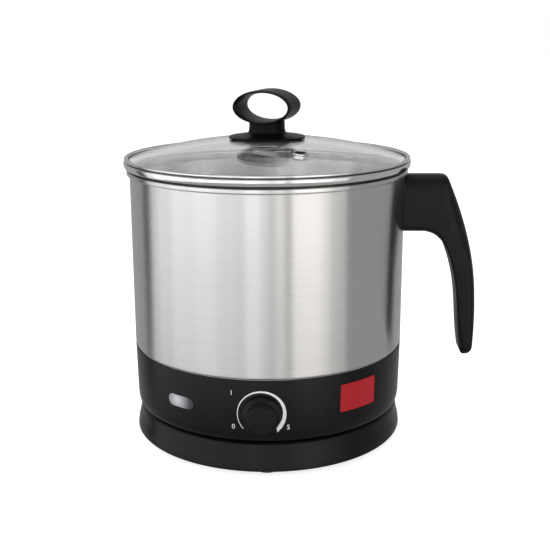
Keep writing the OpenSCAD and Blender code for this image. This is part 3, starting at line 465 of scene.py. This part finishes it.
# Nodes that keep their own mesh, by the material they wear.
FINISHES = {
    "black": ("base_cover", "base_socket", "collar_floor", "pot_connector"),
    "rubber": ("cord_gland", "vent_washer", "knob_washer"),
    "silicone": ("collar_seal", "lid_seal"),
    "cream": ("terminal_block", "connector_core", "thermostat_body"),
    "brass": ("contact_centre", "contact_ring", "connector_pin", "connector_ring"),
    "zinc": ("thermostat_bracket", "thermal_fuse", "bracket_screw_1", "bracket_screw_2",
             "handle_bracket", "handle_screw", "dial_spindle",
             *three("base_screw"), *three("collar_screw"), *three("collar_nut")),
    "aluminium": ("heat_plate", "heating_element"),
    "wire": (*three("base_lead"), *three("pot_lead")),
    "bulb": ("lamp_bulb",),
    "lens": ("lamp_lens",),
    "print": ("dial_scale",),
    "red": ("badge",),
    "band": ("lid_cup_washer",),
    "chrome": ("lid_screw",),
}


def finish_nodes():
    """Gives each node that keeps its own mesh a finished material."""
    for material, nodes in FINISHES.items():
        for node in nodes:
            for piece_slot in frame["nodes"][node].material_slots:
                piece_slot.material = MATERIALS[material]


def dress(obj, body, material, slot, *nodes):
    """Lets a piece ride on a body, stand for its nodes and wear a material."""
    obj.data.materials.clear()
    obj.data.materials.append(MATERIALS[material])
    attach(obj, body)
    if nodes:
        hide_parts(*nodes)


# ---------- power base ----------

def power_base():
    """Moulded shell with a flared foot, a dish in its top and a slot for the cord's gland."""
    low, top = BASE_BOTTOM, BASE_TOP
    wall = 2.4
    shell = lathe("base_wall", rounded([
        (79.4, low, 0.3), (80.3, low + 1, 0.8), (79.8, low + 5, 8), (79.0, low + 8, 8),
        (78.4, low + 11, 6), (78.0, top - 2, 3), (77.5, top - 0.8, 1), (76.6, top, 0.8),
        (70.5, top, 0.5), (70.0, top - 0.5, 0.4), (70.0, DISH_Z, 0.4), (16.2, DISH_Z, 0),
        (16.2, DISH_Z - wall, 0), (72.4, DISH_Z - wall, 0), (72.4, top - wall, 0), (75.6, top - wall, 0),
        (75.6, low + 11, 0), (77.4, low + 5, 0), (77.4, low, 0),
    ]), steps=256)
    gland_low, gland_high = span("cord_gland")
    cut(shell, box_object("slot", (-6.2, 66, gland_low[2] - 0.2), (6.2, 90, gland_high[2] + 0.2)))
    dress(shell, "base", "black", "black_plastic", "base_shell")


def rubber_feet():
    """Feet with a rounded lower edge."""
    radius = (FOOT_HIGH[1] - FOOT_LOW[1]) / 2
    height = 3.6
    x, y = [(low + high) / 2 * MM for low, high in zip(FOOT_LOW, FOOT_HIGH)][:2]
    for i in range(FEET):
        foot = lathe(f"foot_{i + 1}", rounded([
            (0, 0, 0), (radius, 0, 0.8), (radius, height, 0.2), (0, height, 0),
        ]), steps=48)
        stand = Matrix.Rotation(math.radians(360 / FEET * i), 4, "Z") @ Matrix.Translation((x, y, 0))
        dress(turned(foot, stand), "base", "rubber", "black_rubber", f"base_foot_{i + 1}")


# ---------- pot ----------

def collar_r(z):
    """Outer radius of the collar at a height above its bevel."""
    bevel_top = COLLAR_Z + COLLAR_BEVEL
    return BODY_R - COLLAR_TAPER * (1 - (z - bevel_top) / (COLLAR_TOP - bevel_top))


def pot_wall():
    """Steel cup with its rolled rim, its ledge over the collar and a floor with a rounded edge."""
    inner, rim_out = WALL_INNER_R, WALL_INNER_R + RIM_W
    rim_z = RIM_TOP - RIM_H
    neck, neck_inner = 77, 77 - STEEL_T
    outline = rounded([
        (BODY_R, rim_z, 0.4), (rim_out, rim_z, 1.2), (rim_out, RIM_TOP, 1.2), (inner, RIM_TOP, 1.2),
        (inner, SEAM_Z + STEEL_T, 1.2), (neck_inner, SEAM_Z + STEEL_T, 0.5), (neck_inner, CUP_Z + STEEL_T, 4),
        (0, CUP_Z + STEEL_T, 0), (0, CUP_Z, 0), (neck, CUP_Z, 4), (neck, SEAM_Z, 0.3), (BODY_R, SEAM_Z, 1.2),
    ], steps=8)
    wall = lathe("pot_wall", outline, steps=320)
    dress(wall, "pot", "steel", "brushed_steel", "pot_shell")
    # The inside faces wear the lighter steel with painted light and painted reflection bands.
    wall.data.materials.append(MATERIALS["inner steel with painted light"])
    for face in wall.data.polygons:
        r, z = math.hypot(face.center.x, face.center.y) / MM, face.center.z / MM
        if r < inner + 0.05 and z > CUP_Z + 0.8:
            face.material_index = 1


def collar_ring():
    """Black collar with a bevelled lower edge. The lens, the badge and the arc stand proud of it."""
    low, seal_z = COLLAR_Z, SEAM_Z - 0.8
    ring = lathe("collar_ring", rounded([
        (78.4, low, 0.3), (79.05, low + 2, 3), (79.4, low + COLLAR_BEVEL, 6), (BODY_R, COLLAR_TOP, 0.35),
        (79.3, COLLAR_TOP, 0), (79.3, seal_z, 0), (77.2, seal_z, 0), (77.2, low + COLLAR_BEVEL, 0),
        (76.3, low + 4, 0), (76.3, low, 0),
    ]), steps=320)
    dress(ring, "pot", "black", "black_plastic", "collar")


def on_collar(across, z, proud):
    """A point on the collar: arc length to the right of the front, height, distance proud."""
    a = across / BODY_R
    r = collar_r(z) + proud
    return Vector((r * math.sin(a), -r * math.cos(a), z)) * MM


def printed_number(text, across, z, height=2.8):
    """A number printed on the collar, as a thin raised skin."""
    curve = bpy.data.curves.new("number", "FONT")
    curve.body = text
    curve.size = height * 1.4
    curve.align_x = "CENTER"
    curve.align_y = "CENTER"
    curve.extrude = 0.05
    holder = link("number", curve)
    mesh = bpy.data.meshes.new_from_object(holder.evaluated_get(bpy.context.evaluated_depsgraph_get()))
    bpy.data.objects.remove(holder)
    for vertex in mesh.vertices:
        x, y, depth = vertex.co
        vertex.co = on_collar(across + x, z + y, 0.07 + depth)
    mesh.name = "mark_" + text
    dress(link("mark_" + text, mesh), "pot", "print", "silver_print")


# ---------- handle ----------

def out(x, z):
    """A point of the side view: distance out from the steel wall and height over the handle's top."""
    return Vector((BODY_R + x, HANDLE_TOP + z))


# Control points of the arm's outer and inner line.
OUTER_CURVE = (out(25.6, -2.5), out(42.4, -41.2), out(45.8, -65), out(43.1, -103.2))
INNER_CURVE = (out(24, -40.7), out(34.4, -63.9), out(31.8, -84.2), out(35.3, -104.1))


def handle_lines(arm_steps=36):
    """The side view's outer and inner line, from the steel wall round the corner to the tip."""
    outer = [out(x, 0) for x in (-3, 5, 12, 16)]
    outer += [out(20.6, 0), out(23.2, -0.3), out(24.8, -1.2)]
    inner = [out(x, -BLOCK_H) for x in (-3, 5, 9, 12)]
    inner += [out(16.1, -32.9), out(18.9, -34.6), out(21.4, -37)]
    for i in range(arm_steps + 1):
        outer.append(bezier(OUTER_CURVE, i / arm_steps))
        inner.append(bezier(INNER_CURVE, i / arm_steps))
    return outer, inner


def section(a, b, half_y, round_a, round_b, long=1.0, steps=8):
    """A rounded section from an outer to an inner point of the side view.

    Its outer corners are ovals, long times as deep as they are wide.
    """
    half = (a - b).length / 2
    mid = (a + b) / 2
    u = (a - b).normalized()
    ra = min(round_a, half * 0.96, half_y * 0.96)
    rb = min(round_b, half * 0.96, half_y * 0.96)
    deep = min(ra * long, half * 2 - rb - 0.5)
    corners = (
        (half - deep, half_y - ra, deep, ra, 0), (rb - half, half_y - rb, rb, rb, 90),
        (rb - half, rb - half_y, rb, rb, 180), (half - deep, ra - half_y, deep, ra, 270),
    )
    points = []
    for p0, q0, r, s, start in corners:
        for k in range(steps + 1):
            t = math.radians(start + 90 * k / steps)
            p, q = p0 + r * math.cos(t), q0 + s * math.sin(t)
            points.append((mid.x + u.x * p, q, mid.y + u.y * p))
    return points


def ease(share):
    """A share kept between 0 and 1."""
    return max(0.0, min(1.0, share))


def handle():
    """Grip and its cover strip: rings down the arm, then rings that close over the rounded tip."""
    outer, inner = handle_lines()
    last = len(outer) - 1

    def half_depth(i):
        """Half the depth of a ring: the block's up to ring 7, the grip's from ring 21."""
        share = ease((i - 7) / 14)
        share = share * share * (3 - 2 * share)
        return BLOCK_HALF_DEPTH - (BLOCK_HALF_DEPTH - GRIP_HALF_DEPTH) * share

    def split(i):
        """The point of a ring where the cover strip meets the grip."""
        return inner[i] + (outer[i] - inner[i]) * (COVER_T / (outer[i] - inner[i]).length)

    def grip_section(i):
        """A ring of the grip, whose long shoulders run out between rings 8 and 22."""
        corner = BLOCK_ROUND - (BLOCK_ROUND - GRIP_ROUND) * ease(i / 12)
        shoulder = 1 + 1.4 * ease((22 - i) / 14)
        return section(outer[i], split(i), half_depth(i), corner, INNER_ROUND, shoulder, GRIP_STEPS)

    def cover_section(a, b, half_y):
        return section(a, b, half_y - COVER_INSET, 0.5, 0.9)

    grip = [grip_section(i) for i in range(last + 1)]
    cover = [cover_section(split(i), inner[i], half_depth(i)) for i in range(last + 1)]
    mid = (outer[last] + inner[last]) / 2
    for degrees in (12, 24, 36, 48, 58, 67, 75, 82, 87):
        c, s = math.cos(math.radians(degrees)), math.sin(math.radians(degrees))
        down = Vector((0, -TIP_LEN * s))
        a, m, b = (mid + (p - mid) * c + down for p in (outer[last], split(last), inner[last]))
        half_y = GRIP_HALF_DEPTH - TIP_LEN * (1 - c)
        grip.append(section(a, m, half_y, GRIP_ROUND, INNER_ROUND, 1.0, GRIP_STEPS))
        cover.append(cover_section(m, b, half_y))
    # Both pieces end 0.1 mm off the steel wall.
    wall = [(0, 100), (BODY_R + 0.1, 100), (BODY_R + 0.1, 170), (0, 170)]
    for name, rings in (("handle_grip", grip), ("handle_cover", cover)):
        part = skin(name + "_skin", rings, 40)
        cut(part, lathe("wall_cutter", wall, steps=320))
        dress(part, "pot", "soft black", "black_moulding", name)


# ---------- dial ----------

def dial():
    """Dial with a skirt, a tapered grip and a groove that points at the printed arc."""
    grip_r = 8.0
    groove_angle = 222
    knob = lathe("dial_cap", rounded([
        (0, 0, 0), (DIAL_R, 0, 0.4), (DIAL_R, 2.4, 0.6), (grip_r + 0.2, 4.0, 0.8),
        (grip_r, DIAL_LEN, 1.1), (0, DIAL_LEN - 0.3, 0),
    ], steps=6), steps=128)
    groove = box_object("groove", (grip_r - 4.5, -0.5, DIAL_LEN - 0.8), (grip_r + 1.5, 0.5, DIAL_LEN + 2))
    cut(knob, turned(groove, Matrix.Rotation(math.radians(groove_angle), 4, "Z")))
    out_front = Matrix.Translation((0, -DIAL_BACK * MM, 0)) @ front_facing(DIAL_Z)
    dress(turned(knob, out_front), "dial", "soft black", "black_moulding", "dial_knob")


# ---------- lid ----------

def on_dome(r, radius=DOME_R):
    """Height of the dome at a distance from the axis."""
    return DOME_CENTRE + math.sqrt(radius ** 2 - r ** 2)


def vent_place():
    """From the origin to the vent's middle on the dome, with +Z square to the glass."""
    to_centre = Matrix.Translation((0, 0, DOME_CENTRE * MM))
    to_surface = Matrix.Translation((0, 0, DOME_R * MM))
    around = Matrix.Rotation(math.radians(VENT_ANGLE - 90), 4, "Z")
    return to_centre @ around @ Matrix.Rotation(VENT_TILT, 4, "Y") @ to_surface


def glass_dome():
    """Domed glass with a rounded edge and a hole for the vent."""
    edge = GLASS_R
    rings = 28
    low_r = DOME_R - GLASS_T
    distances = [edge * i / rings for i in range(rings)]
    top = [(r, on_dome(r)) for r in distances]
    bottom = [(r, on_dome(r, low_r)) for r in reversed(distances)]
    rim = rounded([(edge - 2, on_dome(edge - 2), 0), (edge, on_dome(edge), 1.2),
                   (edge, on_dome(edge, low_r), 1.2), (edge - 2, on_dome(edge - 2, low_r), 0)], steps=6)
    dome = lathe("glass_dome", top + rim[1:-1] + bottom, steps=256)
    hole = lathe("hole", [(0, -12), (3.7, -12), (3.7, 6), (0, 6)], steps=64)
    cut(dome, turned(hole, vent_place()))
    dress(dome, "lid", "glass", "clear_glass", "lid_glass")


def band():
    """Polished band: a skirt in the mouth, a web on the rim, a wall that leans out and a rolled bead."""
    z = RIM_TOP
    edge = GLASS_R + 0.05
    glass_low = on_dome(GLASS_R, DOME_R - GLASS_T) - 0.05
    ring = lathe("band_ring", rounded([
        (77.6, z - 4.2, 0.35), (78.4, z - 4.2, 0.35), (78.4, z, 0.2), (80.2, z, 0.1), (80.2, z + 1.2, 0.1),
        (BAND_R - 0.6, z + 1.2, 0.9), (BAND_R, z + 4.8, 1.3), (BAND_R - 2.4, z + 4.8, 0.15),
        (BAND_R - 2.4, z + 5.5, 0.15), (BAND_R - 0.6, z + 5.5, 0.55), (BAND_R - 0.6, z + 6.7, 0.6),
        (80.3, z + 6.7, 0.5), (80.3, z + 5.62, 0.1), (edge, z + 5.62, 0), (edge, glass_low, 0),
        (77.6, glass_low, 0.2),
    ], steps=7), steps=320)
    dress(ring, "lid", "band", "polished_steel", "lid_band")
    # Faces in the gap over the rim and in the groove's deep wall wear the near-black metal: painted shade.
    ring.data.materials.append(MATERIALS["painted shade"])
    for face in ring.data.polygons:
        r, height = math.hypot(face.center.x, face.center.y) / MM, face.center.z / MM - z
        if 80 < r < BAND_R - 0.9 and (0 < height < 1.3 or 4.9 < height < 5.4):
            face.material_index = 1


def eyelet():
    """Chrome ring of the steam vent, with its bore in black rubber as painted shade."""
    r = VENT_R
    flange = r + 1.95
    outline = rounded([
        (r, -GLASS_T - 1.1, 0.2), (r, 0.75, 0.15), (r + 0.6, 0.95, 0.5), (flange - 0.6, 0.8, 0.5),
        (flange, 0.35, 0.2), (3.6, 0.35, 0), (3.6, -GLASS_T - 0.5, 0), (flange - 0.8, -GLASS_T - 0.5, 0.1),
        (flange - 0.8, -GLASS_T - 1.1, 0.2),
    ], steps=6)
    ring = lathe("vent_ring", outline, steps=96)
    painted_shade_faces = [face.index for face in ring.data.polygons
             if math.hypot(face.center.x, face.center.y) < (r + 0.05) * MM and face.center.z < 0.7 * MM]
    dress(turned(ring, vent_place()), "lid", "chrome", "polished_steel", "vent_eyelet")
    # Painted shade: the bore's faces wear black rubber.
    ring.data.materials.append(MATERIALS["rubber"])
    for index in painted_shade_faces:
        ring.data.polygons[index].material_index = 1


def on_oval(step, y, inset):
    """A point round the hoop's oval, moved in from its outside by an inset."""
    a = 2 * math.pi * step / HOOP_STEPS
    return (HOOP_W / 2 - inset) * math.cos(a), y, (HOOP_H / 2 - inset) * math.sin(a)


def hoop_rings():
    """The hoop's wall, swept round an ellipse: thinner at both rims than in the middle."""
    outside = [k / 12 - 0.5 for k in range(13)]
    wall = [(y, 0.5 * (max(abs(y) - 0.45, 0) / 0.05) ** 2) for y in outside]
    wall += [(y, HOOP_RIM_T + (HOOP_T - HOOP_RIM_T) * (1 - (2 * y) ** 2) ** 0.8) for y in reversed(outside)]
    return [[on_oval(i, y * HOOP_DEPTH, inset) for y, inset in wall] for i in range(HOOP_STEPS)]


def oval_block(inset, depth):
    """A solid oval bar along Y that fills the hoop up to an inset from its outside."""
    rings = [[on_oval(i, y, inset) for i in range(HOOP_STEPS)] for y in (-depth, depth)]
    return skin("oval_block", rings, 35)


def lid_knob():
    """Flange and stem in one piece, under a hoop that is open to both sides."""
    z = KNOB_LOW[2]
    stem_top = z + 12.6
    in_place = (Matrix.Translation((0, 0, (KNOB_HIGH[2] - HOOP_H / 2) * MM))
                @ Matrix.Rotation(math.radians(-HOOP_TURN), 4, "Z"))
    flange = lathe("knob_flange", rounded([
        (0, z + 2, 0), (6, z + 2, 0), (8, z + 0.9, 0), (18, z, 0.2), (22.2, z, 0.5),
        (22.2, z + 1.2, 0.6), (13.4, z + 2.5, 3), (11.0, z + 3.2, 1.2), (10.4, z + 5.5, 4),
        (10.2, stem_top, 0), (0, stem_top, 0),
    ], steps=6), steps=128)
    cut(flange, turned(oval_block(0.7, HOOP_DEPTH), in_place))
    dress(flange, "lid", "knob black", "black_moulding", "lid_knob")
    loop = skin("knob_loop", hoop_rings(), 50, closed=True)
    dress(turned(loop, in_place), "lid", "knob black", "black_moulding")


# ---------- stage, light and camera ----------

WORLD_GREY = 0.4
IMAGE_SIZE = 550


def seen_directly(shader):
    """1 for what the camera sees, straight or through glass, otherwise 0."""
    path = shader.add("LightPath")
    return shader.math("MAXIMUM", path.outputs["Is Camera Ray"], path.outputs["Is Transmission Ray"])


def floor():
    """Pale floor that shows white with the pot's shadow on it, and stays out of the steel's reflections."""
    size = 6.0
    corners = [(-size, -size, 0), (size, -size, 0), (size, size, 0), (-size, size, 0)]
    mesh = bpy.data.meshes.new("floor")
    mesh.from_pydata(corners, [], [(0, 1, 2, 3)])
    plane = link("floor", mesh)
    s = Shader("floor")
    s.feed(s.surface, "Base Color", (0.85, 0.85, 0.85, 1))
    s.feed(s.surface, "Roughness", 0.8)
    lift = s.add("Emission", None, Color=(1, 1, 1, 1), Strength=0.75)
    both = s.add("AddShader")
    s.links.new(s.surface.outputs["BSDF"], both.inputs[0])
    s.links.new(lift.outputs["Emission"], both.inputs[1])
    mix = s.add("MixShader", None, Fac=seen_directly(s))
    s.links.new(s.surface.outputs["BSDF"], mix.inputs[1])
    s.links.new(both.outputs["Shader"], mix.inputs[2])
    s.links.new(mix.outputs["Shader"], s.nodes["Material Output"].inputs["Surface"])
    mesh.materials.append(s.material)
    plane.visible_glossy = False


def world():
    """White to the camera and through glass, and a plain grey light for the rest."""
    scene_world = bpy.data.worlds.new("studio")
    bpy.context.scene.world = scene_world
    scene_world.use_nodes = True
    nodes, links = scene_world.node_tree.nodes, scene_world.node_tree.links
    path = nodes.new("ShaderNodeLightPath")
    seen = nodes.new("ShaderNodeMath")
    seen.operation = "MAXIMUM"
    links.new(path.outputs["Is Camera Ray"], seen.inputs[0])
    links.new(path.outputs["Is Transmission Ray"], seen.inputs[1])
    tone = nodes.new("ShaderNodeMapRange")
    links.new(seen.outputs[0], tone.inputs["Value"])
    tone.inputs["To Min"].default_value = WORLD_GREY
    tone.inputs["To Max"].default_value = 1.0
    links.new(tone.outputs["Result"], nodes["Background"].inputs["Strength"])
    nodes["Background"].inputs["Color"].default_value = (1, 1, 1, 1)


COOL = (0.985, 0.99, 1)
WARM = (1, 0.985, 0.965)

# Strips of soft light round the front half: name, first and last angle from the front, brightness, tint.
LIGHT_STRIPS = (
    ("left_end", -106, -97, 0.5, COOL),
    ("left_side", -97, -80, 0.74, COOL),
    ("left_wide", -80, -58, 0.98, COOL),
    ("left_main", -58, -38, 1.08, COOL),
    ("left_inner", -38, -24, 0.92, COOL),
    ("left_last", -24, -15, 0.84, COOL),
    ("front_bright", -15, -3, 1.18, COOL),
    ("front_soft", -3, 3, 0.86, COOL),
    ("front_dim", 3, 9, 0.6, COOL),
    ("front_step", 9, 16, 0.92, WARM),
    ("front_gap", 16, 22, 0.4, WARM),
    ("right_main", 22, 46, 1.28, WARM),
    ("right_fade", 46, 53, 0.96, WARM),
    ("right_low", 53, 60, 0.55, WARM),
    ("right_end", 60, 68, 0.44, WARM),
)


def area_lamp(name, radiance, width, height):
    """A soft lamp that the camera itself doesn't see."""
    data = bpy.data.lights.new(name, "AREA")
    data.shape = "RECTANGLE"
    data.size = width
    data.size_y = height
    data.energy = 4 * radiance * width * height
    lamp = link(name, data)
    lamp.visible_camera = False
    return lamp


def softbox(name, first, last, radiance, tint, low=-0.5, high=1.3, distance=1.5):
    """A tall soft lamp between two angles from the front, positive to the right."""
    width = 2 * distance * math.tan(math.radians((last - first) / 2))
    lamp = area_lamp(name, radiance, width, high - low)
    lamp.data.color = tint
    a = math.radians((first + last) / 2)
    lamp.location = (distance * math.sin(a), -distance * math.cos(a), (low + high) / 2)
    lamp.rotation_euler = (math.radians(90), 0, a)


def card(name, angle, spread, shade, distance=1.2, low=-0.4, high=1.0):
    """A dark card that only shows in reflections."""
    a = math.radians(angle)
    centre = Vector((distance * math.sin(a), -distance * math.cos(a), 0))
    half = Vector((math.cos(a), math.sin(a), 0)) * distance * math.tan(math.radians(spread / 2))
    bottom, top = Vector((0, 0, low)), Vector((0, 0, high))
    corners = [centre - half + bottom, centre + half + bottom, centre + half + top, centre - half + top]
    mesh = bpy.data.meshes.new(name)
    mesh.from_pydata(corners, [], [(0, 1, 2, 3)])
    plane = link(name, mesh)
    s = Shader(name)
    s.feed(s.surface, "Base Color", (shade, shade, shade, 1))
    s.feed(s.surface, "Roughness", 1.0)
    mesh.materials.append(s.material)
    plane.visible_camera = False
    plane.visible_shadow = False
    plane.visible_diffuse = False
    plane.visible_transmission = False


def camera():
    """The photograph's view: place in metres and angles in radians."""
    place = Vector((0.02732, -0.57354, 0.24401))
    yaw, pitch, roll, focal_px = 0.04009, 0.25406, -0.00345, 984.7
    forward = Vector((-math.sin(yaw) * math.cos(pitch), math.cos(yaw) * math.cos(pitch), -math.sin(pitch)))
    right = Vector((math.cos(yaw), math.sin(yaw), 0))
    up = right.cross(forward)
    across = right * math.cos(roll) + up * math.sin(roll)
    upward = up * math.cos(roll) - right * math.sin(roll)
    data = bpy.data.cameras.new("camera")
    data.sensor_width = 36
    data.lens = focal_px * data.sensor_width / IMAGE_SIZE
    data.clip_start = 0.01
    view = link("camera", data)
    view.matrix_world = Matrix((
        (across.x, upward.x, -forward.x, place.x),
        (across.y, upward.y, -forward.y, place.y),
        (across.z, upward.z, -forward.z, place.z),
        (0, 0, 0, 1),
    ))
    bpy.context.scene.camera = view


camera()
power_base()
rubber_feet()
pot_wall()
collar_ring()
printed_number("1", -16.5, 49.7)
printed_number("0", -15.6, 30.1)
printed_number("5", 14.6, 30.1)
handle()
dial()
glass_dome()
band()
eyelet()
lid_knob()
finish_nodes()
floor()
world()
for strip in LIGHT_STRIPS:
    softbox(*strip)
area_lamp("overhead", 0.8, 1.2, 1.2).location = (0, 0.1, 1.6)
card("dark_card", -114, 10, 0.2)

scene = bpy.context.scene
scene.view_settings.view_transform = "Standard"
